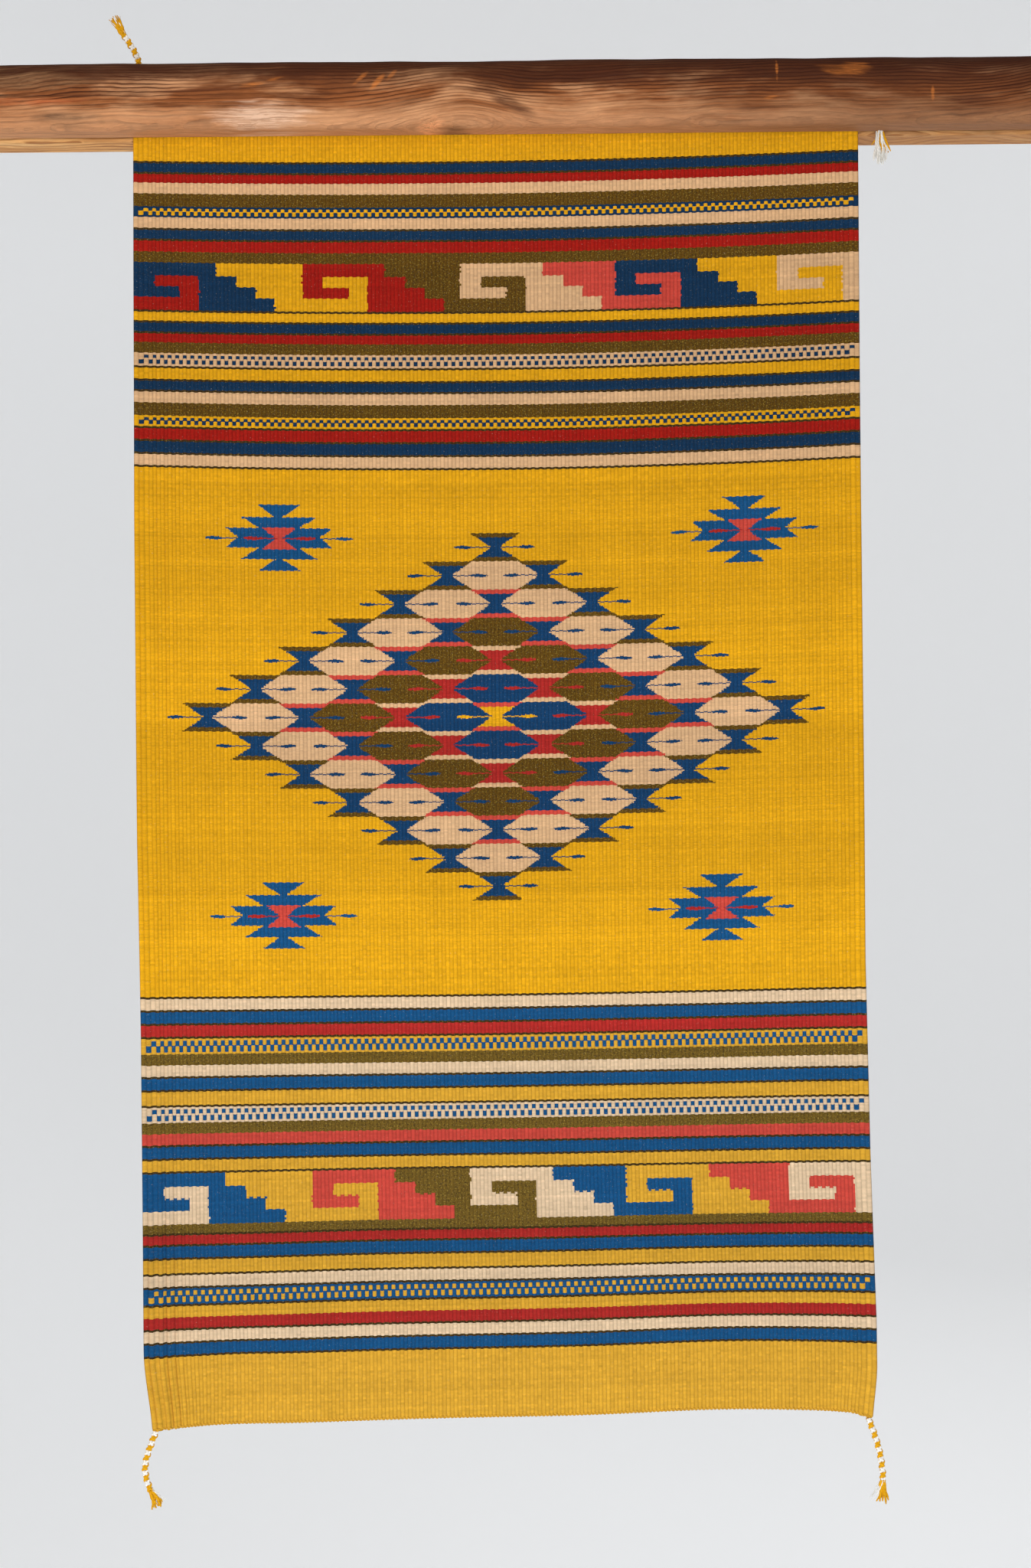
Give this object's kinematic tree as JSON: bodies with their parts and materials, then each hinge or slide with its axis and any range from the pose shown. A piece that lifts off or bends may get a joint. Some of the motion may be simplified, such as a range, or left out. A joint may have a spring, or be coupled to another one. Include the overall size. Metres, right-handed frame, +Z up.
{
  "type": "tapestry wall hanging",
  "caption": "Weft-faced wool tapestry with striped borders, step-fret bands and a stepped diamond, clamped at the top between two timber rails.",
  "frame": {"origin": "middle of the back rail's rear face, on the wall", "axes": "+X to the viewer's right along the rails, +Y into the wall, +Z up; the cloth faces -Y"},
  "size_m": [1.32, 0.1029, 1.6609],
  "materials": {
    "weathered_timber": "weathered, oiled",
    "sawn_timber": "sawn, bare",
    "woven_wool": "weft-faced wool",
    "braided_wool": "braided wool yarn",
    "zinc_steel": "zinc plated"
  },
  "bodies": {
    "wall_rail": {"back_rail": "sawn_timber", "clamp_bolts": "zinc_steel", "clamped_heading": "woven_wool", "top_header_cord": "braided_wool", "braid_top_left": "braided_wool", "tassel_top_left": "braided_wool", "braid_top_right": "braided_wool", "tassel_top_right": "braided_wool"},
    "clamp_rail": {"front_rail": "weathered_timber", "clamp_washers": "zinc_steel"},
    "left_nut": {"wing_nut_left": "zinc_steel"},
    "right_nut": {"wing_nut_right": "zinc_steel"},
    "hanging_cloth": {"tapestry_panel": "woven_wool", "selvedge_left": "woven_wool", "selvedge_right": "woven_wool", "bottom_header_cord": "woven_wool", "braid_bottom_left": "braided_wool", "tassel_bottom_left": "braided_wool", "braid_bottom_right": "braided_wool", "tassel_bottom_right": "braided_wool"}
  },
  "joints": [
    {"name": "clamp_open", "type": "slide", "parent": "wall_rail", "child": "clamp_rail", "axis": [0, -1, 0], "range_m": [0, 0.008]},
    {"name": "left_nut_turn", "type": "hinge", "parent": "clamp_rail", "child": "left_nut", "pos_m": [-0.622, -0.0842, 0.0015], "axis": [0, -1, 0], "range_deg": [0, 2304]},
    {"name": "right_nut_turn", "type": "hinge", "parent": "clamp_rail", "child": "right_nut", "pos_m": [0.622, -0.0842, 0.0015], "axis": [0, -1, 0], "range_deg": [0, 2304]},
    {"name": "cloth_swing", "type": "hinge", "parent": "wall_rail", "child": "hanging_cloth", "pos_m": [0, -0.0418, -0.0358], "axis": [-1, 0, 0], "range_deg": [0, 35]}
  ],
  "couplings": [
    {"joint": "left_nut_turn", "follows": "clamp_open", "rad_per_m": 5026.5},
    {"joint": "right_nut_turn", "follows": "clamp_open", "rad_per_m": 5026.5}
  ]
}
